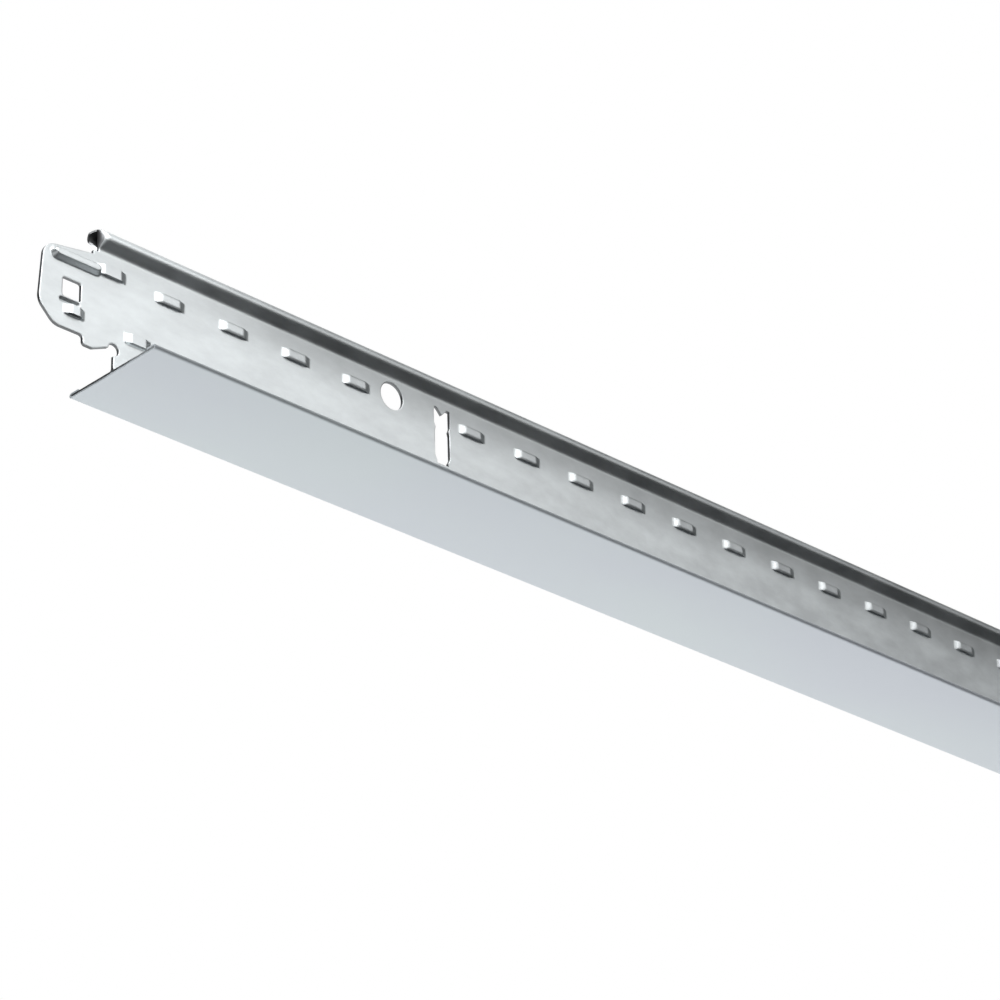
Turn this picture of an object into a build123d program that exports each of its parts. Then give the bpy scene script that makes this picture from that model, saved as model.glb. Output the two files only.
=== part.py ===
from build123d import *
from math import asin, cos, sin
import os

# Exposed-grid ceiling main tee, in millimetres. X runs along the tee, Y across its
# face and Z up from the visible face. The origin is the middle of that face.

# Section
face_width = 24.0  # painted face seen from the room
tee_height = 28.0  # visible face to the crown of the bulb
tee_length = 3000.0  # one stock length, from end to end of the face
sheet = 0.35  # galvanised strip of the body
cap_sheet = 0.3  # painted strip of the face cap
cap_fit = 0.05  # air between the body's flange and the cap folded round it
hem_return = 2.4  # width of the cap edge folded back over the flange
bend_inside = 0.3  # inside radius where the web turns into the flange
bulb_radius = 1.65  # outside radius of the hollow bulb
bulb_tip_depth = 3.9  # crown of the bulb to the point of its hollow
neck_fillet = 1.6  # outside radius between web and bulb

# Stitches: bridges lanced through both web layers and pushed out to one side
stitch_pitch = 15.0
stitch_length = 6.5
stitch_width = 2.1
stitch_rise = 0.6
stitch_ramp = 1.2  # sloping length at each end
stitch_height = 19.2  # centre of the row above the face
stitch_first = 12.6  # end of the face to the centre of the first stitch
low_stitch_height = 8.2  # the single stitch under the row, beside each tongue
low_stitch_first = 5.4
root_stitch_height = 19.95  # the single stitch at the root of each tongue
root_stitch_past = 0.65

# Cross-tee slots, each with a hanger hole before it
slot_pitch = 300.0
slot_first = 79.5  # end of the face to the centre of the first slot
slot_width = 3.85
slot_bottom = 9.8
slot_top = 21.8
slot_toe_width = 2.9  # narrow foot of the slot
slot_toe_height = 0.7
slot_waist_width = 3.4
slot_waist_below = 4.4  # waist below the top of the slot
slot_head_width = 4.1
slot_bevel = 0.9  # height of each sloping stretch of the slot's sides
slot_tab_width = 2.4  # root of the pointed tab that forks the head
slot_tab_length = 1.3
hanger_hole_diameter = 5.7
hanger_hole_height = 19.9
hanger_hole_ahead = 13.0  # hole centre to slot centre

# Coupling tongue: the end of the web itself, past the end of the face
bulb_overhang = 5.0
shear_middle = 4.0  # end of the face to the slanting cut, at the middle of the bulb
shear_lead = 0.79  # how much further the cut runs along the tee for each mm to the back
shear_low = 23.3  # the cut stops at this height
tongue_reach = 16.6
tongue_top = 22.5  # at the bulb's end
tongue_fall = 1.8  # how much lower its top edge is at the tip
tongue_lean = 0.8  # how much less the tip reaches out at its top
tongue_bottom = 5.1
tongue_corner = 3.0  # radius at the top
tongue_chamfer = 3.6  # at the bottom
chamfer_radius = 3.2
nib_depth = 1.8  # below the tongue's lower edge
nib_outer = 6.8  # end of the face to the nib's outer flank
nib_inner = 4.6
nib_radius = 0.7
relief_radius = 1.2  # round relief between the tongue and the flange
relief_height = 4.7
window_length = 4.1
window_width = 3.8
window_past = 9.5  # end of the face to the window's centre
window_height = 13.3
window_corner = 0.5
latch_length = 5.0  # raised bar under the window, which the next tongue clicks over
latch_width = 2.0
latch_rise = 0.8
latch_past = 8.95
latch_height = 8.9
dent_length = 4.8  # shallow dent between window and latch, pressed the other way
dent_width = 1.2
dent_depth = 0.35
dent_past = 9.9
dent_height = 10.6
rib_length = 11.2
rib_width = 2.5
rib_rise = 0.8
rib_past = 8.8
rib_height = 19.3
mark_slope = 38.0  # sides of rib and dent, in degrees off square

# Worked out from the sizes above
half_length = tee_length / 2
end = -half_length  # near end of the face
stack = 2 * (cap_sheet + cap_fit) + sheet  # a flange inside its folded cap
flange_low = cap_sheet + cap_fit
flange_high = flange_low + sheet
flange_reach = (face_width - stack) / 2
bend_outside = bend_inside + sheet
web_foot = flange_low + bend_outside
bulb_centre = tee_height - bulb_radius
hollow_radius = bulb_radius - sheet
hollow_drop = bulb_tip_depth - bulb_radius  # bulb centre down to the hollow's point
flank_angle = asin(hollow_radius / hollow_drop)
web_top = bulb_centre - hollow_drop

slot_count = int((tee_length - slot_first) / slot_pitch) + 1
slot_places = [end + slot_first + slot_pitch * n for n in range(slot_count)]
stitch_count = int((tee_length - 2 * stitch_first) / stitch_pitch) + 1
stitch_row = [end + stitch_first + stitch_pitch * n for n in range(stitch_count)]
clear_before = hanger_hole_ahead + (hanger_hole_diameter + stitch_length) / 2
clear_after = (slot_head_width + stitch_length) / 2
stitch_places = [
    x for x in stitch_row
    if not any(slot - clear_before < x < slot + clear_after for slot in slot_places)
]


def teardrop(radius):
    """Face of a bulb with the given radius: a round crown, and flanks that meet below."""
    side, level = radius * cos(flank_angle), bulb_centre - radius * sin(flank_angle)
    point = bulb_centre - radius / sin(flank_angle)
    with BuildSketch() as face:
        with BuildLine():
            Line((0, point), (side, level))
            ThreePointArc((side, level), (0, bulb_centre + radius), (-side, level))
            Line((-side, level), (0, point))
        make_face()
    return face.sketch


def lance(places, height, length, width, rise, turn=0):
    """Bridges pushed out between two cuts: trapezoids in front, the same hollow behind."""
    for foot, mode in ((-sheet, Mode.ADD), (sheet, Mode.SUBTRACT)):
        with BuildSketch(Plane.XY.offset(height - width / 2).rotated((0, 0, turn))) as row:
            with Locations(*[(x, 0) for x in places]):
                Polygon(
                    (-length / 2, foot), (stitch_ramp - length / 2, foot - rise),
                    (length / 2 - stitch_ramp, foot - rise), (length / 2, foot), align=None,
                )
        extrude(row.sketch, amount=width, mode=mode)


def emboss(place, height, length, width, rise, turn=0):
    """Round-ended mark with sloping sides: raised in front, the same hollow behind."""
    for foot, mode in ((sheet, Mode.ADD), (-sheet, Mode.SUBTRACT)):
        with BuildSketch(Plane.XZ.rotated((0, 0, turn)).offset(foot)) as mark:
            with Locations((place, height)):
                SlotOverall(length, width)
        extrude(mark.sketch, amount=rise, taper=mark_slope, mode=mode)


with BuildPart() as tee_body:
    # Both web layers as one plate; its ends are the coupling tongues
    nib_low = tongue_bottom - nib_depth
    with BuildSketch(Plane.XZ) as web_plate:
        with BuildLine():
            tongue_edge = FilletPolyline(
                (end - bulb_overhang, tongue_top),
                (end - tongue_reach + tongue_lean, tongue_top - tongue_fall),
                (end - tongue_reach, tongue_bottom + tongue_chamfer),
                (end - tongue_reach + tongue_chamfer, tongue_bottom),
                (end - nib_outer, tongue_bottom),
                (end - nib_outer, nib_low),
                (end - nib_inner, nib_low),
                (end, relief_height + relief_radius / 2),
                radius=[tongue_corner, chamfer_radius, chamfer_radius,
                        nib_radius, nib_radius, nib_radius],
            )
            Polyline(
                tongue_edge @ 1, (end, web_foot), (0, web_foot), (0, web_top),
                (end - bulb_overhang, web_top), tongue_edge @ 0,
            )
        make_face()
        mirror(about=Plane.YZ)
        with Locations((end, relief_height), (-end, relief_height)):
            Circle(relief_radius, mode=Mode.SUBTRACT)
        with Locations((end - window_past, window_height), (window_past - end, window_height)):
            RectangleRounded(window_length, window_width, window_corner, mode=Mode.SUBTRACT)
    extrude(amount=sheet, both=True)

    # Flange halves, with a small groove below where the strip bends into the web
    bend_centres = [(bend_outside, web_foot), (-bend_outside, web_foot)]
    with BuildSketch(Plane.YZ) as foot_section:
        with Locations((0, (flange_low + flange_high) / 2)):
            Rectangle(2 * flange_reach, sheet)
        with Locations((0, (flange_low + web_foot) / 2)):
            Rectangle(2 * bend_outside, bend_outside)
        with Locations(*bend_centres):
            Circle(bend_inside, mode=Mode.SUBTRACT)
    extrude(amount=half_length, both=True)
    with BuildSketch(Plane.YZ) as bend_groove:
        with Locations((0, (flange_low + web_foot) / 2)):
            Rectangle(2 * bend_outside, bend_outside)
        with Locations(*bend_centres):
            Circle(bend_outside, mode=Mode.SUBTRACT)
    extrude(amount=half_length, both=True, mode=Mode.SUBTRACT)

    # Bulb, its neck and its hollow
    with BuildSketch(Plane.YZ) as bulb:
        add(teardrop(bulb_radius))
        with Locations((0, web_top)):
            Rectangle(2 * sheet, 2 * neck_fillet)
        necks = [v for v in bulb.vertices()
                 if abs(abs(v.X) - sheet) < sheet / 100 and v.Y > web_top - sheet]
        fillet(necks, neck_fillet)
    extrude(amount=half_length + bulb_overhang, both=True)
    with BuildSketch(Plane.YZ) as hollow:
        add(teardrop(hollow_radius))
    extrude(amount=half_length + bulb_overhang, both=True, mode=Mode.SUBTRACT)

    # Hanger holes and slots. A slot has a narrow toe, straight sides, a waist and a head
    # forked by a pointed tab.
    with BuildSketch() as slot:
        toe, side = slot_toe_width / 2, slot_width / 2
        waist, head = slot_waist_width / 2, slot_head_width / 2
        waist_level = slot_top - slot_waist_below
        with BuildLine():
            Polyline(
                (0, slot_bottom), (toe, slot_bottom), (toe, slot_bottom + slot_toe_height),
                (side, slot_bottom + slot_toe_height + slot_bevel),
                (side, waist_level - slot_bevel), (waist, waist_level),
                (head, waist_level + slot_bevel), (head, slot_top),
                (slot_tab_width / 2, slot_top), (0, slot_top - slot_tab_length), close=True,
            )
        make_face()
        mirror(about=Plane.YZ)
    with BuildSketch(Plane.XZ) as punched:
        with Locations(*[(x - hanger_hole_ahead, hanger_hole_height) for x in slot_places]):
            Circle(hanger_hole_diameter / 2)
        with Locations(*[(x, 0) for x in slot_places]):
            add(slot.sketch)
    extrude(amount=bulb_radius, both=True, mode=Mode.SUBTRACT)

    # Ends of the bulb: shorn aslant, with the edge of the front wall pressed in
    for turn in (0, 180):
        across = 2 * bulb_radius
        lead = shear_lead * across
        lip_along = sheet * (1 + shear_lead**2) ** 0.5
        with BuildSketch(Plane.XY.offset(shear_low).rotated((0, 0, turn))) as shorn:
            with Locations((end - shear_middle, 0)):
                Polygon((lead, -across), (-lead, across), (-2 * lead, across),
                        (-2 * lead, -across), align=None)
        extrude(shorn.sketch, amount=tee_height, mode=Mode.SUBTRACT)
        with BuildPart() as lip:
            with BuildSketch(Plane.YZ.rotated((0, 0, turn)).offset(end - bulb_overhang)) as shell:
                add(teardrop(bulb_radius))
            extrude(shell.sketch, amount=bulb_overhang)
            with BuildSketch(Plane.XY.rotated((0, 0, turn))) as slant:
                with Locations((end - shear_middle, 0)):
                    Polygon((lead, -across), (0, 0), (lip_along, 0),
                            (lip_along + lead, -across), align=None)
            extrude(slant.sketch, amount=tee_height, mode=Mode.INTERSECT)
        add(lip.part)

    # Pressed marks. The far end is the near end turned half round, so what stands out
    # to the front there stands out to the back here.
    for turn in (0, 180):
        emboss(end - rib_past, rib_height, rib_length, rib_width, rib_rise, turn)
        emboss(dent_past - end, dent_height, dent_length, dent_width, dent_depth, turn + 180)
        lance([end - latch_past], latch_height, latch_length, latch_width, latch_rise, turn)
        for past, height in ((root_stitch_past, root_stitch_height),
                             (-low_stitch_first, low_stitch_height)):
            lance([end - past], height, stitch_length, stitch_width, stitch_rise, turn)
    lance(stitch_places, stitch_height, stitch_length, stitch_width, stitch_rise)

tee_body.part.label = "tee_body"
export_step(tee_body.part, "parts/tee_body.step")

# Face cap: a painted strip whose edges fold back over the flange
with BuildPart() as face_cap:
    with BuildSketch(Plane.YZ) as cap_section:
        with Locations((0, stack / 2)):
            SlotOverall(face_width, stack)
            SlotOverall(face_width - 2 * cap_sheet, stack - 2 * cap_sheet, mode=Mode.SUBTRACT)
        with Locations((0, stack)):
            Rectangle(face_width - 2 * hem_return, 2 * (cap_sheet + cap_fit),
                      mode=Mode.SUBTRACT)
    extrude(amount=half_length, both=True)

face_cap.part.label = "face_cap"
export_step(face_cap.part, "parts/face_cap.step")
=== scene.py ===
# %% [markdown]
# # A ceiling grid main tee
# A main tee is one long strip of zinc-coated steel, folded by rollers into a hollow bulb,
# a web of two layers and two flange halves, with a painted cap folded round the flange.
# It could be a few bevelled boxes, but a real tee is all thin edges, so every face here is
# a surface worked out from two parameters, at the real thickness of the sheet.

# %% Load the frame
from math import asin, cos, degrees, pi, radians, sin, tau

import bmesh
import bpy
import numpy as np
from mathutils import Matrix, Vector


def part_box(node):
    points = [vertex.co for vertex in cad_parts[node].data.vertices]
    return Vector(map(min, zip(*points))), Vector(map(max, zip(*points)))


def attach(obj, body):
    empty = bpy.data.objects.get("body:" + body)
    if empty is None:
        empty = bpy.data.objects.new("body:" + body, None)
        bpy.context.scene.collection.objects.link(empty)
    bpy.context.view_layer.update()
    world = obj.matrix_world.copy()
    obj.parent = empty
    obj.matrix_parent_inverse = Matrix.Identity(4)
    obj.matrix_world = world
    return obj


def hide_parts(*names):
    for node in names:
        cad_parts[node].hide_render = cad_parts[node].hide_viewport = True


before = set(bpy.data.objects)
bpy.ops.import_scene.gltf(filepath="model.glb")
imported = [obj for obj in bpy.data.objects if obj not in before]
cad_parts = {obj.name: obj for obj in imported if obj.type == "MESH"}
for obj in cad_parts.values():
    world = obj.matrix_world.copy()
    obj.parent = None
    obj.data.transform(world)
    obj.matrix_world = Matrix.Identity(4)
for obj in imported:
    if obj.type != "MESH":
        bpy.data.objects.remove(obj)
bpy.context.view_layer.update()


def short(place):
    """A place as a list of numbers for printing, each rounded to four decimals."""
    return [round(value, 4) for value in place]


# %% [markdown]
# ## Sizes
# The length, the width of the face and the height come from the solids in the frame, so
# the surfaces stay inside them. Every other size has a name, in metres through `mm`: those
# of the folded strip are here, and those of each piece are in its own cell. Where pieces
# meet they share a value: the web's foot and top, and how far in the tongues have their root.

# %% Sizes of the tee
mm = 0.001
body_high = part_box("tee_body")[1]
cap_low, cap_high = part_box("face_cap")
half_length = cap_high.x
face_width = cap_high.y - cap_low.y
tee_height = body_high.z
tongue_reach = body_high.x - cap_high.x

sheet = 0.35 * mm
cap_sheet = 0.3 * mm
cap_fit = 0.05 * mm
hem_return = 2.4 * mm
bend_inside = 0.3 * mm
bulb_radius = 1.65 * mm
bulb_tip_depth = 3.9 * mm
neck_fillet = 1.6 * mm
bulb_overhang = 5.0 * mm

stack = 2 * (cap_sheet + cap_fit) + sheet
flange_low = cap_sheet + cap_fit
web_foot = flange_low + bend_inside + sheet
web_top = 23.3 * mm
tongue_root = 8.45 * mm
print("tee", round(2 * half_length, 3), "m long,", round(face_width / mm, 2), "mm face")

# %% [markdown]
# ## From arrays to a mesh
# A grid of points needs only one rule to become faces: join each point to its neighbours.
# The helpers below do that for whole arrays, put several grids together, and weld the
# seams, so that a folded strip comes out as one closed skin whose faces point outwards.

# %% Grid helpers


def patch(points, close_rows=False, close_columns=False):
    """Points on a grid of rows and columns, and the quads that join each to its neighbours."""
    rows, columns = points.shape[:2]
    index = np.arange(rows * columns).reshape(rows, columns)
    if close_rows:
        index = np.vstack([index, index[:1]])
    if close_columns:
        index = np.hstack([index, index[:, :1]])
    corners = [index[:-1, :-1], index[:-1, 1:], index[1:, 1:], index[1:, :-1]]
    return points.reshape(-1, 3), np.stack(corners, -1).reshape(-1, 4)


def joined(shapes):
    """Several shapes as one: points in a row, each shape's quads counted on from the last."""
    starts = np.cumsum([0] + [len(points) for points, _ in shapes[:-1]])
    return (
        np.vstack([points for points, _ in shapes]),
        np.vstack([quads + start for (_, quads), start in zip(shapes, starts)]),
    )


def turned(shape):
    """The same shape turned half round about the upright axis: x and y change sign."""
    points, quads = shape
    return points * (-1, -1, 1), quads


def placed(x, y, z):
    """Three arrays of one shape, or that stretch to one, as an array of points."""
    return np.stack(np.broadcast_arrays(x, y, z), -1)


# %% Piece helper
weld = 0.002 * mm
crease_angle = radians(32)


def make_piece(name, shape, node):
    """A closed, welded mesh of the shape, riding on the part and standing for one node."""
    points, quads = shape
    mesh = bpy.data.meshes.new(name)
    mesh.from_pydata(points.tolist(), [], quads.tolist())
    work = bmesh.new()
    work.from_mesh(mesh)
    bmesh.ops.remove_doubles(work, verts=work.verts, dist=weld)
    bmesh.ops.dissolve_degenerate(work, edges=work.edges, dist=weld)
    bmesh.ops.recalc_face_normals(work, faces=work.faces)
    open_edges = sum(edge.is_boundary for edge in work.edges)
    work.to_mesh(mesh)
    work.free()
    mesh.shade_smooth()
    mesh.set_sharp_from_angle(angle=crease_angle)
    piece = bpy.data.objects.new(name, mesh)
    bpy.context.scene.collection.objects.link(piece)
    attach(piece, "root")
    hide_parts(node)
    print(name, len(mesh.polygons), "faces,", open_edges, "open edges")
    return piece


# %% [markdown]
# ## Bulb
# The bulb along the top of the web stiffens the tee. On the real strip the two layers part
# at the neck and meet again over a hollow like a drop. The drop is a circle and the two
# flanks that touch it, and the neck is a small arc. Both outlines have the same number of
# points, so the outer and the inner wall are rows of one grid that is closed round. Only
# the near half is worked out, because the far half is the same one turned half round.

# %% Outline of the bulb
bulb_centre = tee_height - bulb_radius
hollow_radius = bulb_radius - sheet
hollow_drop = bulb_tip_depth - bulb_radius
flank = asin(hollow_radius / hollow_drop)
neck_points = 7
crown_points = 26


def half_outlines():
    """Outer and inner outline of the back half, from the neck up to the crown, as (y, z).

    The crown is an arc about the centre, from minus the flank's angle to straight up. The
    neck is an arc that touches the web's face and the flank. It starts below the height
    where those two would meet, by the fillet times one less the cosine, over the sine. The
    inner outline waits at the hollow's lowest point while the outer one passes the neck.
    """
    rise = np.linspace(-flank, pi / 2, crown_points)
    across, up = np.cos(rise), np.sin(rise)
    outer_crown = np.column_stack([bulb_radius * across, bulb_centre + bulb_radius * up])
    inner_crown = np.column_stack([hollow_radius * across, bulb_centre + hollow_radius * up])
    outer_point = bulb_centre - bulb_radius / sin(flank)
    meeting = outer_point + sheet * cos(flank) / sin(flank)
    level = meeting - neck_fillet * (1 - cos(flank)) / sin(flank)
    bend = np.linspace(pi, pi - flank, neck_points)
    neck = np.column_stack([
        sheet + neck_fillet * (1 + np.cos(bend)), level + neck_fillet * np.sin(bend),
    ])
    outer = np.vstack([[(sheet, web_top)], neck, outer_crown])
    tip = np.tile((0.0, bulb_centre - hollow_drop), (neck_points + 1, 1))
    return outer, np.vstack([tip, inner_crown])


def both_sides(half):
    """The front half from the neck up to the crown, then the back half down again."""
    front = half * (-1, 1)
    front[-1, 0] = half[-1, 0] = 0.0
    return np.vstack([front, half[-2::-1]])


outer_loop, inner_loop = [both_sides(half) for half in half_outlines()]
print("bulb outline has", len(outer_loop), "points, flank", round(degrees(flank), 1), "degrees")

# %% [markdown]
# ## Shorn ends of the bulb
# The shear that cuts the tee to length leaves the bulb's end aslant and rolls the edge of
# the front wall in to the middle. A boolean cut would leave a flat facet there. Here the
# last rows of the grid bend instead: in front they follow a quarter turn inwards, and
# behind they run on straight, so the drop-shaped opening shows the back wall only.

# %% Carry the bulb along the tee
shear_middle = 4.0 * mm
shear_lead = 0.79
roll_lead = 1.09
end_rows = 10


def bulb_row(loop, fraction, set_back):
    """One row of the bulb's wall, at a fraction of its shorn last stretch.

    In front the wall turns in by a quarter circle: across shrinks with the cosine, and
    along grows with the sine of the same angle. Behind, the wall runs straight on to a
    slanting cut, which leads further the further back it is.
    """
    y, z = loop[:, 0], loop[:, 1]
    roll = fraction * pi / 2
    front_along = shear_middle - set_back + roll_lead * y * (1 - sin(roll))
    lead = np.minimum(shear_lead * y, bulb_overhang - shear_middle)
    along = np.where(y > 0, shear_middle + lead * fraction, front_along)
    across = np.where(y > 0, y, y * cos(roll))
    return placed(-half_length - along, across, z)


def half_bulb():
    """The near half: the outer wall out to the end, then the inner wall back again."""
    fractions = np.linspace(0, 1, end_rows)
    inner_back = sheet * roll_lead
    outer = [placed(0.0, outer_loop[:, 0], outer_loop[:, 1])]
    outer += [bulb_row(outer_loop, f, 0.0) for f in fractions]
    inner = [bulb_row(inner_loop, f, inner_back) for f in fractions[::-1]]
    inner += [placed(0.0, inner_loop[:, 0], inner_loop[:, 1])]
    return patch(np.stack(outer + inner), close_columns=True)


near_half = half_bulb()
bulb_shell = make_piece(
    "bulb_shell", joined([near_half, turned(near_half)]), "tee_body"
)

# %% [markdown]
# ## Web between the openings
# The two layers of the web are held together by stitches: short bridges, lanced through
# both layers and pushed out to the front. There are nearly two hundred, so the grid has
# columns and rows only where their ramps and sides bend. The height of a point is the
# product of a share along the tee and a share up the web, which gives a bridge with
# sloping ends and steep sides.

# %% Stitches
stitch_pitch = 15.0 * mm
stitch_length = 7.2 * mm
stitch_width = 2.1 * mm
stitch_rise = 0.6 * mm
stitch_ramp = 1.8 * mm
stitch_height = 19.2 * mm
stitch_first = 12.3 * mm
slot_pitch = 300.0 * mm
slot_first = 79.5 * mm
hole_ahead = 13.0 * mm
hole_radius = 2.85 * mm
hole_height = 19.9 * mm

slot_count = int((2 * half_length - slot_first) / slot_pitch) + 1
slot_places = -half_length + slot_first + slot_pitch * np.arange(slot_count)
stitch_count = int((2 * half_length - 2 * stitch_first) / stitch_pitch) + 1
stitch_row = -half_length + stitch_first + stitch_pitch * np.arange(stitch_count)

ramp_steps = np.array([-0.1, 0.0, 0.12, 0.3, 0.5, 0.7, 0.88, 1.0, 1.1])
ramp_run = np.clip(ramp_steps, 0, 1)
ramp_share = ramp_run**2 * (3 - 2 * ramp_run)
stitch_columns = np.concatenate([
    -stitch_length / 2 + stitch_ramp * ramp_steps,
    stitch_length / 2 - stitch_ramp * ramp_steps[::-1],
])
column_share = np.concatenate([ramp_share, ramp_share[::-1]])
side_steps = np.array([-0.12, 0.0, 0.03, 0.2, 0.55]) * mm
side_share = np.array([0.0, 0.0, 0.8, 0.93, 1.0])
web_rows = np.concatenate([
    [web_foot],
    stitch_height - stitch_width / 2 + side_steps,
    stitch_height + stitch_width / 2 - side_steps[::-1],
    [web_top],
])
row_share = np.concatenate([[0.0], side_share, side_share[::-1], [0.0]])
print(slot_count, "slots,", stitch_count, "places in the row of stitches")

# %% Stretches of web


def skins(x, height):
    """Front and back skin over the web's rows, both pushed to the front by the height."""
    z = web_rows[:, None]
    return placed(x, -sheet - height, z), placed(x, sheet - height, z)


def closed_skins(front, back):
    """Both skins, joined by a strip along the foot and one along the top."""
    edges = [patch(np.stack([front[row], back[row]])) for row in (0, -1)]
    return joined([patch(front), patch(back), *edges])


def web_stretch(start, stop):
    """Web from start to stop, with the stitches of the row that lie wholly between.

    A point's height is the rise of a stitch times its column's share times its row's share.
    """
    half = stitch_columns[-1]
    inside = (stitch_row - half > start) & (stitch_row + half < stop)
    stitches = stitch_row[inside]
    x = np.concatenate([[start], (stitches[:, None] + stitch_columns).ravel(), [stop]])
    share = np.concatenate([[0.0], np.tile(column_share, len(stitches)), [0.0]])
    return skins(x, stitch_rise * share * row_share[:, None])


# %% [markdown]
# ## Slots and hanger holes
# Each slot takes the end of a cross tee: a narrow toe, straight sides, a waist, and a head
# forked by a pointed tab. A wire or bolt goes through the round hole before it. Around an
# opening the web is a ring: each point lies between the outline of the opening and a
# rectangle, both met by the same ray from the middle. No boolean is needed, and the ring's
# outer side has the rows of the web beside it, so the seam can be welded.

# %% Outline of a slot
tiny = 1e-12
corner_slack = 1e-6
slot_levels = np.array([9.8, 9.8, 10.5, 11.4, 16.5, 17.4, 18.3, 21.8, 21.8, 20.5]) * mm
slot_halves = np.array([0.0, 1.45, 1.45, 1.925, 1.925, 1.7, 2.05, 2.05, 1.2, 0.0]) * mm
slot_middle = 15.8 * mm
slot_corners = np.vstack([
    np.column_stack([slot_halves, slot_levels - slot_middle]),
    np.column_stack([-slot_halves, slot_levels - slot_middle])[-2:0:-1],
])
print("slot outline has", len(slot_corners), "corners")


def slot_reach(angle):
    """Distance from the slot's middle to its outline: where a ray meets a side first.

    With a side from start to its end, the reach is start cross side over ray cross side,
    and the share along the side is start cross ray over ray cross side. Each side counts
    as a little longer than it is, so no ray slips through a corner.
    """
    ray = np.column_stack([np.cos(angle), np.sin(angle)])[:, None]
    start = slot_corners[None]
    side = np.roll(slot_corners, -1, axis=0)[None] - start
    turn = ray[..., 0] * side[..., 1] - ray[..., 1] * side[..., 0]
    turn = np.where(np.abs(turn) < tiny, tiny, turn)
    reach = (start[..., 0] * side[..., 1] - start[..., 1] * side[..., 0]) / turn
    along = (start[..., 0] * ray[..., 1] - start[..., 1] * ray[..., 0]) / turn
    met = (along > -corner_slack) & (along < 1 + corner_slack) & (reach > 0)
    return np.where(met, reach, np.inf).min(axis=1)


def hole_reach(angle):
    """Distance from a round hole's middle to its edge: the same in every direction."""
    return np.full(len(angle), hole_radius)


# %% Rings round the openings
ring_samples = 64
edge_break = 0.05 * mm
edge_band = 0.1 * mm
edge_guard = 0.12 * mm
ring_half_width = 3.9 * mm
least_turn = 1e-5
least_share = 1e-9


def ray_angles(middle_z, half_width, extra):
    """Directions of the rays: even ones, and those to the rectangle's rows and corners.

    Two that are closer than the least turn count as one.
    """
    rows = np.concatenate([
        np.arctan2(web_rows - middle_z, side) for side in (half_width, -half_width)
    ])
    even = np.linspace(-pi, pi, ring_samples, endpoint=False)
    angle = np.sort(np.concatenate([even, rows, extra]) % tau)
    return angle[np.concatenate([[True], np.diff(angle) > least_turn])]


def on_rectangle(angle, middle_z, half_width):
    """Where the rays meet the rectangle: at the nearest of its points.

    A ray that leaves through a side goes to the nearest of the web's rows there, and one
    that leaves through the top or the foot goes to a corner or the middle. Rays that share
    a point make triangles, so the ring's edge has just the points of the web beside it.
    """
    across, up = np.cos(angle), np.sin(angle)
    level = middle_z + half_width * up / np.maximum(np.abs(across), least_share)
    height = web_rows[np.abs(level[:, None] - web_rows).argmin(axis=1)] - middle_z
    above_or_below = (level > web_top) | (level < web_foot)
    crossing = height * across / np.where(np.abs(up) < least_share, least_share, up)
    to_middle = above_or_below & (np.abs(crossing) < half_width / 2)
    side = np.where(across > 0, half_width, -half_width)
    return placed(np.where(to_middle, 0.0, side), 0.0, height)


def opening_ring(x, z, reach, extra):
    """Both skins and the wall round one opening: rings of the same rays, closed round."""
    angle = ray_angles(z, ring_half_width, extra)
    ray = placed(np.cos(angle), 0.0, np.sin(angle))
    middle = np.array([x, 0.0, z])
    rim = reach(angle)[:, None] * ray
    band = (reach(angle) + edge_band)[:, None] * ray
    guard = (reach(angle) + edge_band + edge_guard)[:, None] * ray
    box = on_rectangle(angle, z, ring_half_width)
    front, back = np.array([0.0, -sheet, 0.0]), np.array([0.0, sheet, 0.0])
    inwards = np.array([0.0, edge_break, 0.0])
    rows = [
        box + front, guard + front, band + front, rim + front + inwards,
        rim + back - inwards, band + back, guard + back, box + back,
    ]
    return patch(np.stack(rows) + middle, close_columns=True)


def rectangle_edges(x):
    """Strips that close a ring's rectangle along the foot and along the top."""
    points = np.array([x - ring_half_width, x, x + ring_half_width])
    return [
        patch(np.stack([placed(points, -sheet, z), placed(points, sheet, z)]))
        for z in (web_foot, web_top)
    ]


# %% Put the web together


def whole_web():
    """Stretches of web and rings by turns along the tee, closed by a strip at each end."""
    corner_rays = np.arctan2(slot_corners[:, 1], slot_corners[:, 0])
    shapes = []
    start = -half_length + tongue_root
    for slot_x in slot_places:
        hole_x = slot_x - hole_ahead
        for x, z, reach, extra in (
            (hole_x, hole_height, hole_reach, []),
            (slot_x, slot_middle, slot_reach, corner_rays),
        ):
            shapes += [closed_skins(*web_stretch(start, x - ring_half_width))]
            shapes += [opening_ring(x, z, reach, extra), *rectangle_edges(x)]
            start = x + ring_half_width
    shapes += [closed_skins(*web_stretch(start, half_length - tongue_root))]
    for x in (-half_length + tongue_root, half_length - tongue_root):
        front, back = skins(np.array([x]), 0.0)
        shapes += [patch(np.stack([front[:, 0], back[:, 0]]))]
    return joined(shapes)


stitched_web = make_piece("stitched_web", whole_web(), "tee_body")

# %% [markdown]
# ## Flange halves
# Below the web each layer bends outwards into half of the flange. The strip is two paths,
# one for each face of the sheet, carried along the tee and closed at edges and ends. An
# array of points is enough: the bend is an arc, and all the rest is straight.

# %% Folded strips


def arc(centre, radius, start, stop, count=9):
    """Points round a centre from one angle to another: radius times cosine and sine."""
    angle = np.linspace(start, stop, count)
    return centre + radius * np.column_stack([np.cos(angle), np.sin(angle)])


def folded_strip(outer, inner, reach):
    """A strip between two paths with the same number of points, carried from end to end."""
    loop = np.vstack([outer, inner[::-1]])
    stations = np.array([-reach, 0.0, reach])[:, None]
    walls = patch(placed(stations, loop[:, 0], loop[:, 1]), close_columns=True)
    ends = [
        patch(np.stack([placed(x, p[:, 0], p[:, 1]) for p in (outer, inner)]))
        for x in (-reach, reach)
    ]
    return joined([walls, *ends])


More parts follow.
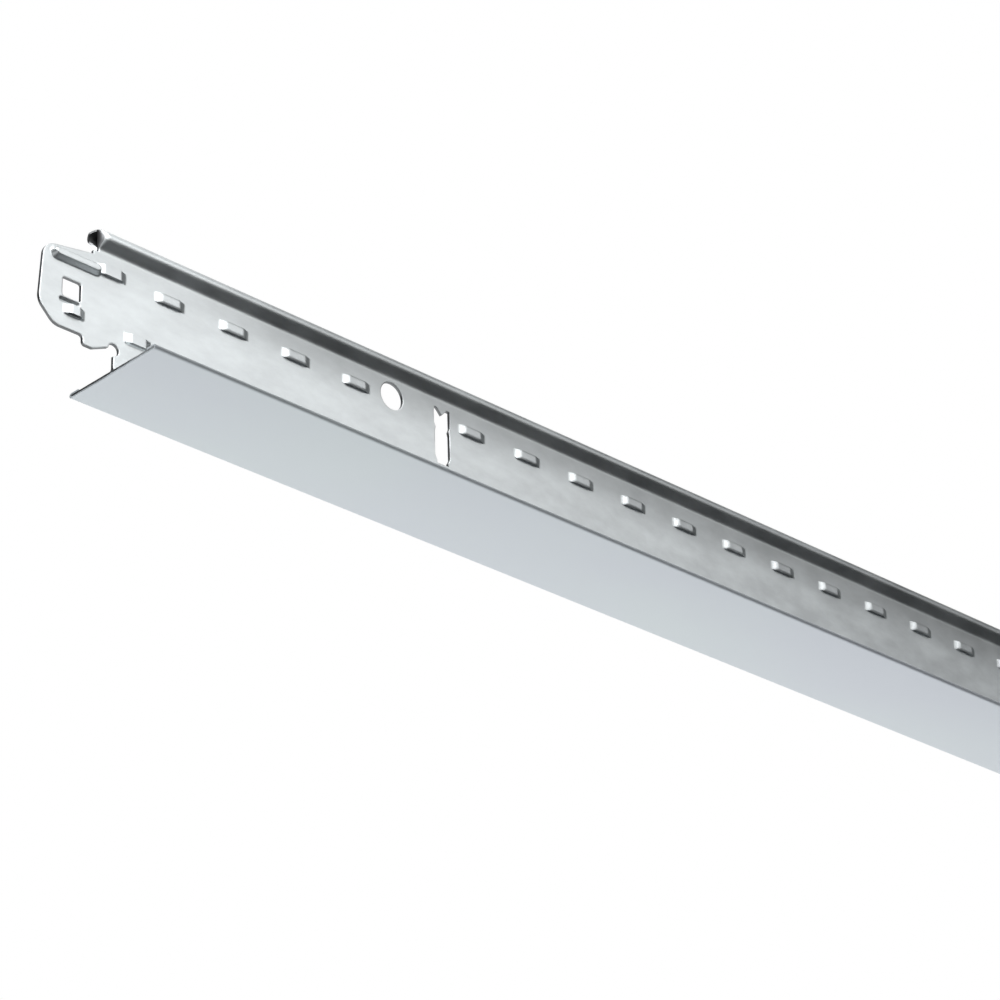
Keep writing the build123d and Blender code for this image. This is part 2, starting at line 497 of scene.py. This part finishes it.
def flange_half(side):
    """From the edge of the flange inwards, then up through the bend to the web's foot."""
    centre = np.array([bend_inside + sheet, web_foot])
    edge = (face_width - stack) / 2
    upper = np.vstack([[(edge, flange_low + sheet)], arc(centre, bend_inside, -pi / 2, -pi)])
    lower = np.vstack([[(edge, flange_low)], arc(centre, bend_inside + sheet, -pi / 2, -pi)])
    return folded_strip(upper * (side, 1), lower * (side, 1), half_length)


flange_halves = make_piece(
    "flange_halves", joined([flange_half(-1), flange_half(1)]), "tee_body"
)

# %% [markdown]
# ## Coupling tongues
# Past the end of the face the web runs on as a tongue that clicks into the next tee. It has
# a window, a latch, a dent, a rib, a nib and rounded corners. A grid with many openings is
# hard to lay out by hand, so the outline is a signed distance instead: it is worked out for
# a fine grid, the cells inside stay, and the points on the border move onto the outline.

# %% Outline of a tongue
corner_steps = 12


def rounded(corners):
    """A closed outline through (x, z, radius) corners, with an arc at each rounded one.

    The arc's centre lies on the line that halves the corner, and its distance from the
    corner is the radius over the sine of half the corner's angle.
    """
    points = np.array([c[:2] for c in corners]) * mm
    radii = np.array([c[2] for c in corners]) * mm
    pieces = []
    for point, before, after, radius in zip(
        points, np.roll(points, 1, axis=0), np.roll(points, -1, axis=0), radii
    ):
        back = (before - point) / np.linalg.norm(before - point)
        ahead = (after - point) / np.linalg.norm(after - point)
        half = np.arccos(np.clip(back @ ahead, -1, 1)) / 2
        if radius == 0:
            pieces.append([point])
            continue
        middle = (back + ahead) / np.linalg.norm(back + ahead)
        centre = point + middle * radius / sin(half)
        sweep = np.linspace(-(pi / 2 - half), pi / 2 - half, corner_steps)
        side = (ahead - back) / np.linalg.norm(ahead - back)
        bulge = np.outer(np.sin(sweep), side) - np.outer(np.cos(sweep), middle)
        pieces.append(centre + radius * bulge)
    return np.vstack(pieces)


foot, top, root = web_foot / mm, web_top / mm, tongue_root / mm
tongue_outline = rounded([
    (-5.0, top, 0), (-5.0, 22.5, 0), (-15.8, 20.7, 3.0), (-16.6, 8.7, 3.2), (-13.0, 5.1, 3.2),
    (-6.8, 5.1, 0.7), (-6.8, 3.3, 0.7), (-4.6, 3.3, 0.7), (0.0, 5.3, 0), (0.0, foot, 0),
    (root, foot, 0), (root, top, 0),
])
window_outline = rounded([
    (-11.55, 11.4, 0.5), (-7.45, 11.4, 0.5), (-7.45, 15.2, 0.5), (-11.55, 15.2, 0.5),
])
relief_middle = np.array([0.0, 4.7]) * mm
relief_radius = 1.2 * mm
print("outlines:", len(tongue_outline), "points for a tongue,", len(window_outline), "a window")


def inside_by(outline, x, z):
    """How far points lie inside a closed outline, negative outside.

    The distance is the smallest one to any side. The sign comes from how often a ray to
    the right crosses the outline: an odd number of times from inside.
    """
    start = outline[:, None]
    side = np.roll(outline, -1, axis=0)[:, None] - start
    away = np.stack([x.ravel(), z.ravel()], -1)[None] - start
    along = np.clip((away * side).sum(-1) / (side * side).sum(-1), 0, 1)
    distance = np.linalg.norm(away - along[..., None] * side, axis=-1).min(axis=0)
    spans = (away[..., 1] < 0) != (away[..., 1] < side[..., 1])
    slope = side[..., 0] / np.where(side[..., 1] == 0, tiny, side[..., 1])
    crossed = spans & (away[..., 0] < away[..., 1] * slope)
    return np.where(crossed.sum(axis=0) % 2 == 1, distance, -distance).reshape(x.shape)


def tongue_inside(x, z):
    """How far inside the outline and outside window and relief: the least of the three."""
    relief = np.hypot(x - relief_middle[0], z - relief_middle[1]) - relief_radius
    solid = np.minimum(inside_by(tongue_outline, x, z), -inside_by(window_outline, x, z))
    return np.minimum(solid, relief)


# %% Pressed marks of a tongue
lance_side = 0.14 * mm
upper_bridge = np.array([-0.95, 19.95]) * mm
upper_length = 6.9 * mm
lower_bridge = np.array([5.15, 8.2]) * mm
lower_length = 6.4 * mm
latch_place = np.array([-8.95, 8.9]) * mm
latch_length, latch_width, latch_rise = np.array([5.0, 2.0, 0.8]) * mm
rib_place = np.array([-8.8, 19.35]) * mm
rib_length, rib_width, rib_rise, rib_side = np.array([11.4, 2.8, 1.05, 0.95]) * mm
dent_place = np.array([-9.9, 10.6]) * mm
dent_length, dent_width, dent_depth, dent_side = np.array([4.8, 1.2, 0.35, 0.6]) * mm


def smooth(share):
    """A soft step: three times the square less twice the cube, held between 0 and 1."""
    share = np.clip(share, 0, 1)
    return share * share * (3 - 2 * share)


def bridge(x, z, place, length, width, rise):
    """A lanced bridge: the rise times a soft ramp at its ends and a steep step at its sides."""
    ends = smooth((length / 2 - np.abs(x - place[0])) / stitch_ramp)
    sides = smooth((width / 2 - np.abs(z - place[1])) / lance_side + 0.5)
    return rise * ends * sides


def swage(x, z, place, length, width, rise, side):
    """A round-ended mark with sides that slope over a width, by the distance from its line."""
    line = (length - width) / 2
    off = np.hypot(np.maximum(np.abs(x - place[0]) - line, 0), z - place[1])
    return rise * smooth((width / 2 - off) / side)


def tongue_height(x, z):
    """How far both layers are pushed to the front, with the dent pushed to the back.

    The rib runs into the upper bridge, so the higher of those two counts. The rest add up.
    """
    upper = bridge(x, z, upper_bridge, upper_length, stitch_width, stitch_rise)
    lower = bridge(x, z, lower_bridge, lower_length, stitch_width, stitch_rise)
    latch = bridge(x, z, latch_place, latch_length, latch_width, latch_rise)
    rib = swage(x, z, rib_place, rib_length, rib_width, rib_rise, rib_side)
    dent = swage(x, z, dent_place, dent_length, dent_width, dent_depth, dent_side)
    return np.maximum(rib, upper) + lower + latch - dent


# %% Build a tongue
cell = 0.15 * mm
seam_groove = 0.05 * mm
probe = 0.01 * mm
flattest = 0.25


def onto_outline(x, z):
    """Moves points onto the outline: two steps along the steepest way, by the distance.

    The slope each way is the change of the distance over a probe to either side. Where it
    is nearly flat, its square counts as no less than a set value, so no step is long.
    """
    for _ in range(2):
        gap = tongue_inside(x, z)
        slope_x = (tongue_inside(x + probe, z) - tongue_inside(x - probe, z)) / (2 * probe)
        slope_z = (tongue_inside(x, z + probe) - tongue_inside(x, z - probe)) / (2 * probe)
        size = np.maximum(slope_x**2 + slope_z**2, flattest)
        x, z = x - gap * slope_x / size, z - gap * slope_z / size
    return x, z, slope_x, slope_z


def border_edges(quads):
    """Edges that only one of the quads has, each in that quad's direction."""
    edges = np.stack([quads, np.roll(quads, -1, axis=1)], -1).reshape(-1, 2)
    width = quads.max() + 1
    forward = edges[:, 0] * width + edges[:, 1]
    backward = edges[:, 1] * width + edges[:, 0]
    return edges[~np.isin(forward, backward)]


def near_tongue():
    """Both skins of the tongue over the kept cells, and the rim that joins them.

    The rim has a middle row, set in a little, so the two layers of sheet show as a seam.
    """
    columns = int(round((tongue_reach + tongue_root) / cell))
    rows = int(round((web_top - web_foot) / cell))
    x, z = np.meshgrid(
        np.linspace(-tongue_reach, tongue_root, columns + 1),
        np.linspace(web_foot, web_top, rows + 1), indexing="ij",
    )
    quads = patch(placed(x, 0.0, z))[1]
    x, z = x.ravel(), z.ravel()
    quads = quads[tongue_inside(x[quads].mean(axis=1), z[quads].mean(axis=1)) > 0]
    edges = border_edges(quads)
    border = np.unique(edges)
    x[border], z[border], slope_x, slope_z = onto_outline(x[border], z[border])
    height = tongue_height(x, z)
    front, back = -sheet - height, sheet - height
    free = (x[border] < tongue_root - cell / 2) & (z[border] < web_top - cell / 2)
    rim = border[free & (z[border] > web_foot + cell / 2)]
    front[rim] += edge_break
    back[rim] -= edge_break
    middle_x, middle_z = x.copy(), z.copy()
    middle_x[border] += seam_groove * slope_x * free
    middle_z[border] += seam_groove * slope_z * free
    count = len(x)
    points = np.vstack([
        placed(x, front, z), placed(x, back, z), placed(middle_x, -height, middle_z),
    ]) - (half_length, 0, 0)
    a, b = edges.T
    faces = np.vstack([
        quads, quads[:, ::-1] + count,
        np.column_stack([b, a, a + 2 * count, b + 2 * count]),
        np.column_stack([b + 2 * count, a + 2 * count, a + count, b + count]),
    ])
    used, faces = np.unique(faces, return_inverse=True)
    return points[used], faces.reshape(-1, 4)


tongue = near_tongue()
tongue_near = make_piece("tongue_near", tongue, "tee_body")
tongue_far = make_piece("tongue_far", turned(tongue), "tee_body")

# %% [markdown]
# ## Face cap
# The white face seen from the room is a painted strip whose edges fold back over the
# flange. One path for its outside and one for its inside are enough: flat, a half circle
# round each edge of the flange, and the hem lying on top.

# %% Fold the cap


def cap_path(radius):
    """Hem, half circle, flat face, half circle and hem, at a radius round each edge."""
    middle = np.array([face_width / 2 - stack / 2, stack / 2])
    hem = (face_width / 2 - hem_return, middle[1] + radius)
    right = np.vstack([[hem], arc(middle, radius, pi / 2, -pi / 2, count=15)])
    return np.vstack([right, right[::-1] * (-1, 1)])


face_cap_shell = make_piece(
    "face_cap_shell",
    folded_strip(cap_path(stack / 2), cap_path(stack / 2 - cap_sheet), half_length),
    "face_cap",
)

# %% [markdown]
# ## Zinc-coated steel
# The strip is hot-dipped and rolled: pale grey, half matt, with a faint cloudy bloom, very
# fine lines along the rolling direction and slightly different gloss from patch to patch.
# Noise stretched along the tee gives the lines, and a larger noise gives the clouds. The
# colour is painted darker towards the bulb, as painted shade under it, but hardly near the
# two ends, where the lamps light the web more.

# %% Material helpers


def new_material(name, colour, roughness, metallic=0.0):
    """A material that is the same all over, with its node tree and its shader."""
    material = bpy.data.materials.new(name)
    material.use_nodes = True
    tree = material.node_tree
    shader = tree.nodes["Principled BSDF"]
    shader.inputs["Base Color"].default_value = (*colour, 1)
    shader.inputs["Roughness"].default_value = roughness
    shader.inputs["Metallic"].default_value = metallic
    return material, tree, shader


def object_place(tree):
    """Object coordinates, which stay with the piece from wherever it is seen."""
    return tree.nodes.new("ShaderNodeTexCoord").outputs["Object"]


def noise_on(tree, place, scale, detail, stretch=(1, 1, 1), roughness=0.5):
    """Noise over Object coordinates, stretched by a Mapping node; gives its Factor."""
    mapping = tree.nodes.new("ShaderNodeMapping")
    mapping.inputs["Scale"].default_value = stretch
    tree.links.new(place, mapping.inputs["Vector"])
    noise = tree.nodes.new("ShaderNodeTexNoise")
    noise.inputs["Scale"].default_value = scale
    noise.inputs["Detail"].default_value = detail
    noise.inputs["Roughness"].default_value = roughness
    tree.links.new(mapping.outputs["Vector"], noise.inputs["Vector"])
    return noise.outputs["Fac"]


def ramp_between(tree, factor, low, high, start=0.35, stop=0.65):
    """A colour ramp from low to high over part of the factor's range."""
    ramp = tree.nodes.new("ShaderNodeValToRGB")
    ramp.color_ramp.elements[0].position = start
    ramp.color_ramp.elements[0].color = (*low, 1)
    ramp.color_ramp.elements[1].position = stop
    ramp.color_ramp.elements[1].color = (*high, 1)
    tree.links.new(factor, ramp.inputs["Fac"])
    return ramp.outputs["Color"]


def range_of(tree, factor, low, high, start=0.3, stop=0.7):
    """Part of the factor's range, spread over the range from low to high."""
    spread = tree.nodes.new("ShaderNodeMapRange")
    spread.inputs["From Min"].default_value = start
    spread.inputs["From Max"].default_value = stop
    spread.inputs["To Min"].default_value = low
    spread.inputs["To Max"].default_value = high
    tree.links.new(factor, spread.inputs["Value"])
    return spread.outputs["Result"]


def bump_on(tree, shader, height, distance, strength, under=None):
    """A bump on the shader's normal, over another bump where one is given."""
    bump = tree.nodes.new("ShaderNodeBump")
    bump.inputs["Distance"].default_value = distance
    bump.inputs["Strength"].default_value = strength
    tree.links.new(height, bump.inputs["Height"])
    if under is not None:
        tree.links.new(under, bump.inputs["Normal"])
    tree.links.new(bump.outputs["Normal"], shader.inputs["Normal"])
    return bump.outputs["Normal"]


def share_along(tree, place, axis, start, stop, first, last):
    """A share that goes from first to last between two distances out along an axis.

    The distance is the coordinate without its sign, and the way between is a smooth step.
    The last share is a number, or the output of another node.
    """
    parts = tree.nodes.new("ShaderNodeSeparateXYZ")
    tree.links.new(place, parts.inputs["Vector"])
    out = tree.nodes.new("ShaderNodeMath")
    out.operation = "ABSOLUTE"
    tree.links.new(parts.outputs[axis], out.inputs[0])
    share = tree.nodes.new("ShaderNodeMapRange")
    share.interpolation_type = "SMOOTHSTEP"
    share.inputs["From Min"].default_value = start
    share.inputs["From Max"].default_value = stop
    share.inputs["To Min"].default_value = first
    if isinstance(last, float):
        share.inputs["To Max"].default_value = last
    else:
        tree.links.new(last, share.inputs["To Max"])
    tree.links.new(out.outputs["Value"], share.inputs["Value"])
    return share.outputs["Result"]


def scaled(tree, colour, share):
    """The colour times a share."""
    product = tree.nodes.new("ShaderNodeVectorMath")
    product.operation = "SCALE"
    tree.links.new(colour, product.inputs[0])
    tree.links.new(share, product.inputs["Scale"])
    return product.outputs["Vector"]


# %% Zinc
zinc_pale = (0.765, 0.802, 0.812)
zinc_grey = (0.62, 0.65, 0.66)
glossy_zinc = 0.34
matt_zinc = 0.44
# Painted shade: the zinc colour is made darker up towards the bulb, and less so near the two
# ends.
bulb_shade_from = 14 * mm
bulb_shade_to = 23.5 * mm
bulb_shade_share = 0.62
shade_eases_from = half_length - 50 * mm
shade_eases_to = half_length - 8 * mm
end_shade_share = 0.92


def make_zinc():
    """Zinc coating: cloudy colour and gloss, fine lines along the rolled strip, and painted
    shade towards the bulb.
    """
    material, tree, shader = new_material("zinc_coating", zinc_pale, matt_zinc, metallic=0.8)
    place = object_place(tree)
    clouds = noise_on(tree, place, scale=200, detail=6, stretch=(0.5, 1, 1), roughness=0.6)
    lines = noise_on(tree, place, scale=2600, detail=3, stretch=(0.02, 1, 1))
    bloom = ramp_between(tree, clouds, zinc_grey, zinc_pale)
    shade_at_top = share_along(tree, place, "X", shade_eases_from, shade_eases_to, bulb_shade_share, end_shade_share)
    painted_shade = share_along(tree, place, "Z", bulb_shade_from, bulb_shade_to, 1.0, shade_at_top)
    tree.links.new(scaled(tree, bloom, painted_shade), shader.inputs["Base Color"])
    tree.links.new(range_of(tree, clouds, glossy_zinc, matt_zinc), shader.inputs["Roughness"])
    under = bump_on(tree, shader, clouds, distance=0.02 * mm, strength=0.25)
    bump_on(tree, shader, lines, distance=0.004 * mm, strength=0.3, under=under)
    return material


zinc = make_zinc()
# Prints the heights between which the zinc is painted darker, as painted shade under the bulb.
print("zinc wears duller from", round(bulb_shade_from / mm, 1), "to", round(bulb_shade_to / mm, 1), "mm up")

# %% [markdown]
# ## Cut edges
# The shear, the punches and the lances cut through the zinc, so every edge of the sheet
# shows bare steel, darker than the coating. A face is a cut edge where it looks along the
# tee, or, on the flat web, where it looks any way but across it. Its normal tells which.
# On the bulb a lower limit takes the slanted cut, and with it the zinc of the front wall's
# rolled-in lip, which is darkened there as painted shade.

# %% Bare steel
end_limit = 0.9
# On the bulb this limit takes the slanted cut, and also darkens the rolled-in zinc lip as
# painted shade.
slant_and_shade_limit = 0.6
across_limit = 0.4


def face_vectors(piece, kind):
    """The normal or the center of every face of a piece, as three arrays x, y and z."""
    faces = piece.data.polygons
    values = np.empty(3 * len(faces))
    faces.foreach_get(kind, values)
    return values.reshape(-1, 3).T


def mark_cut_edges(piece, flat, limit):
    """Gives cut faces the second material and returns how many they are.

    A face is cut where its normal goes more than a limit along the tee, or, on a flat
    piece, less than a limit across it.
    """
    along, across, _ = np.abs(face_vectors(piece, "normal"))
    cut = (along > limit) | (flat & (across < across_limit))
    piece.data.polygons.foreach_set("material_index", cut.astype(np.int32))
    return int(cut.sum())


cut_steel = new_material("cut_steel", (0.34, 0.35, 0.36), roughness=0.45, metallic=1.0)[0]
for piece in (bulb_shell, stitched_web, flange_halves, tongue_near, tongue_far):
    piece.data.materials.append(zinc)
    piece.data.materials.append(cut_steel)
    flat = piece in (stitched_web, tongue_near, tongue_far)
    limit = slant_and_shade_limit if piece is bulb_shell else end_limit
    print(piece.name, mark_cut_edges(piece, flat, limit), "cut faces")

# %% [markdown]
# ## Inside of the bulb
# Hardly any light gets into such a narrow tube, so its open end looks black. A few bounces
# of rendered light would still brighten it, so the inner wall is painted near black, as
# painted shade.

# %% Painted shade inside


def mark_inside(piece):
    """Gives the faces of the bulb's inner wall the third material; returns how many.

    Such a face looks in at the bulb's middle, and lies within the middle line of the wall:
    across times the flank's cosine, less height times its sine, is under that line's radius.
    """
    _, y, z = face_vectors(piece, "center")
    along, out_y, out_z = face_vectors(piece, "normal")
    z = z - bulb_centre
    inside = (y * out_y + z * out_z < 0) & (np.abs(along) < slant_and_shade_limit)
    inside &= np.abs(y) * cos(flank) - z * sin(flank) < (bulb_radius + hollow_radius) / 2
    faces = piece.data.polygons
    chosen = np.empty(len(faces), dtype=np.int32)
    faces.foreach_get("material_index", chosen)
    chosen[inside] = 2
    faces.foreach_set("material_index", chosen)
    return int(inside.sum())


# The near-black colour of the bulb's inner wall is painted shade.
painted_shade_inside = new_material("bulb_inside", (0.04, 0.043, 0.045), roughness=0.7)[0]
bulb_shell.data.materials.append(painted_shade_inside)
print("bulb_shell", mark_inside(bulb_shell), "inside faces")

# %% [markdown]
# ## Painted face
# Coil paint is even and satin, with a cool white tone. What keeps it from looking like
# plastic is a trace of orange peel and the slow waves that thin sheet always has. Over the
# folds the colour is painted darker, as painted shade.

# %% Paint
paint_white = (0.725, 0.785, 0.805)
paint_shade = (0.71, 0.75, 0.80)
satin = 0.42
# Where and how far the paint colour over the folds is made darker: painted shade.
fold_shade_from = face_width / 2 - 0.3 * mm
fold_shade_to = face_width / 2 - 0.03 * mm
fold_shade_share = 0.62


def make_paint():
    """Satin coil paint: slow waves of the sheet under a fine orange peel, and painted shade
    over the folds.
    """
    material, tree, shader = new_material("face_paint", paint_white, satin)
    place = object_place(tree)
    waves = noise_on(tree, place, scale=24, detail=2, stretch=(0.5, 1, 1))
    peel = noise_on(tree, place, scale=1500, detail=2)
    coat = ramp_between(tree, waves, paint_shade, paint_white)
    fold_shade = share_along(tree, place, "Y", fold_shade_from, fold_shade_to, 1.0, fold_shade_share)
    tree.links.new(scaled(tree, coat, fold_shade), shader.inputs["Base Color"])
    under = bump_on(tree, shader, waves, distance=0.15 * mm, strength=0.15)
    bump_on(tree, shader, peel, distance=0.004 * mm, strength=0.2, under=under)
    return material


face_cap_shell.data.materials.append(make_paint())
# Prints where the painted shade over the folds begins and ends.
print("paint thins from", round(fold_shade_from / mm, 2), "to", round(fold_shade_to / mm, 2), "mm out")

# %% [markdown]
# ## Camera
# The picture looks up at the near end from below and in front, with a long lens. The place
# and the two directions below fit the tee's edges, slots and stitches.

# %% Camera
camera_place = Vector((-0.32676 - half_length, -0.42133, -0.30243))
look = Vector((0.6275, 0.6271, 0.4614)).normalized()
picture_right = Vector((0.7173, -0.6962, -0.0293)).normalized()
picture_up = picture_right.cross(look)

camera = bpy.data.cameras.new("camera")
camera.sensor_width = 36
camera.lens = 125.46
camera.clip_start = 0.01
camera_object = bpy.data.objects.new("camera", camera)
camera_object.matrix_world = Matrix.Translation(camera_place) @ Matrix(
    (picture_right, picture_up, -look)
).transposed().to_4x4()
bpy.context.scene.collection.objects.link(camera_object)
bpy.context.scene.camera = camera_object
print("camera at", short(camera_place))

# %% [markdown]
# ## Floor, backdrop and lamps
# The tee hangs above a plain pale floor. The background is white because the world is
# white to camera rays and to reflections, while the lamps and a dimmer world light the
# tee. A real studio is dark around its lamps, and zinc mirrors that darkness, which gives
# the bulb and the rib their shape. Four dark cards, seen by reflections only, stand for it.

# %% Floor
floor_drop = 0.75
floor_half = 9.0
floor_grey = (0.86, 0.86, 0.86)
floor_glow = 0.85


def flat_stage(name, low, high, material):
    """A flat rectangle of the stage between two opposite corners that agree along one axis.

    Its corners go round by the other two axes: low low, high low, high high, low high.
    """
    low, high = np.array(low), np.array(high)
    first, second = np.flatnonzero(low != high)
    corners = np.tile(low, (4, 1))
    corners[1:3, first] = high[first]
    corners[2:4, second] = high[second]
    mesh = bpy.data.meshes.new(name)
    mesh.from_pydata(corners.tolist(), [], [(0, 1, 2, 3)])
    mesh.materials.append(material)
    plane = bpy.data.objects.new(name, mesh)
    bpy.context.scene.collection.objects.link(plane)
    return plane


def looked_at(tree):
    """One for rays that show a background: from the camera, or by way of metal or glass."""
    ray = tree.nodes.new("ShaderNodeLightPath")
    found = ray.outputs["Is Camera Ray"]
    for kind in ("Is Glossy Ray", "Is Transmission Ray"):
        either = tree.nodes.new("ShaderNodeMath")
        either.operation = "MAXIMUM"
        tree.links.new(found, either.inputs[0])
        tree.links.new(ray.outputs[kind], either.inputs[1])
        found = either.outputs["Value"]
    return found


def floor_material():
    """Floor that is pale wherever it is looked at, and clear from below, so it hides nothing.

    Where it is looked at it is part glow and part matt, and the matt part keeps the shadow.
    """
    material, tree, shader = new_material("pale_floor", floor_grey, roughness=0.9)
    pale = tree.nodes.new("ShaderNodeEmission")
    pale.inputs["Color"].default_value = (*floor_grey, 1)
    share = tree.nodes.new("ShaderNodeMath")
    share.operation = "MULTIPLY"
    share.inputs[1].default_value = floor_glow
    tree.links.new(looked_at(tree), share.inputs[0])
    seen_pale = tree.nodes.new("ShaderNodeMixShader")
    tree.links.new(share.outputs["Value"], seen_pale.inputs["Fac"])
    tree.links.new(shader.outputs["BSDF"], seen_pale.inputs[1])
    tree.links.new(pale.outputs["Emission"], seen_pale.inputs[2])
    clear = tree.nodes.new("ShaderNodeBsdfTransparent")
    side = tree.nodes.new("ShaderNodeNewGeometry")
    mix = tree.nodes.new("ShaderNodeMixShader")
    tree.links.new(side.outputs["Backfacing"], mix.inputs["Fac"])
    tree.links.new(seen_pale.outputs["Shader"], mix.inputs[1])
    tree.links.new(clear.outputs["BSDF"], mix.inputs[2])
    tree.links.new(mix.outputs["Shader"], tree.nodes["Material Output"].inputs["Surface"])
    return material


flat_stage(
    "floor", (-floor_half, -floor_half, -floor_drop), (floor_half, floor_half, -floor_drop),
    floor_material(),
)
print("floor", floor_drop, "m below the face")

# %% Dark cards for reflections
card_foot = -0.6
left_x = -half_length - 2.0
right_x = half_length + 1.5
front_y = -4.0
dark = new_material("dark_card", (0.02, 0.02, 0.022), roughness=1.0)[0]
cards = [
    flat_stage("card_below", (-1.9, -9.05, card_foot), (9.0, 0.35, card_foot), dark),
    flat_stage("card_left", (left_x, -2.3, card_foot), (left_x, 6.0, 5.0), dark),
    flat_stage("card_right", (right_x, -3.6, card_foot), (right_x, 0.5, 7.0), dark),
    flat_stage("card_front", (-4.0, front_y, card_foot), (5.0, front_y, 1.3), dark),
]
for card in cards:
    card.visible_camera = False
    card.visible_diffuse = False
    card.visible_shadow = False
    card.visible_transmission = False
print(len(cards), "cards, seen by reflections only")

# %% World
fill_colour = (0.93, 0.96, 1.0)
fill_strength = 0.24
world = bpy.data.worlds.new("studio")
bpy.context.scene.world = world
world.use_nodes = True
sky = world.node_tree
for node in list(sky.nodes):
    sky.nodes.remove(node)
seen = sky.nodes.new("ShaderNodeBackground")
seen.inputs["Color"].default_value = (1, 1, 1, 1)
seen.inputs["Strength"].default_value = 1.0
fill = sky.nodes.new("ShaderNodeBackground")
fill.inputs["Color"].default_value = (*fill_colour, 1)
fill.inputs["Strength"].default_value = fill_strength
choose = sky.nodes.new("ShaderNodeMixShader")
output = sky.nodes.new("ShaderNodeOutputWorld")
sky.links.new(looked_at(sky), choose.inputs["Fac"])
sky.links.new(fill.outputs["Background"], choose.inputs[1])
sky.links.new(seen.outputs["Background"], choose.inputs[2])
sky.links.new(choose.outputs["Shader"], output.inputs["Surface"])
print("world is white where it is looked at, and lights at", fill_strength)

# %% Lamps


def softbox(name, place, aim, width, power, on_matt=True, in_reflections=True):
    """A square area lamp at a place, turned to face its aim, for one kind of light or both."""
    lamp = bpy.data.lights.new(name, "AREA")
    lamp.size = width
    lamp.energy = power
    box = bpy.data.objects.new(name, lamp)
    box.location = place
    box.rotation_euler = (Vector(aim) - Vector(place)).to_track_quat("-Z", "Y").to_euler()
    box.visible_diffuse = on_matt
    box.visible_glossy = in_reflections
    bpy.context.scene.collection.objects.link(box)
    return box


near_end = Vector((-half_length, 0, 0))
lamps = [
    softbox(
        "front_light", near_end + Vector((0.65, -1.0, 0.75)), near_end,
        width=0.7, power=1.1, on_matt=False,
    ),
    softbox(
        "top_light", near_end + Vector((-0.35, -0.35, 0.75)), near_end,
        width=0.5, power=6,
    ),
    softbox(
        "edge_light", near_end + Vector((-0.02, -1.05, 0.55)), near_end,
        width=0.5, power=3.4, on_matt=False,
    ),
    softbox(
        "under_light", (-0.6, 0.3, card_foot + 0.02), (-0.6, 0, 0),
        width=3.0, power=27.5, in_reflections=False,
    ),
]
print(len(lamps), "lamps")

# %% Look
bpy.context.scene.view_settings.view_transform = "Standard"
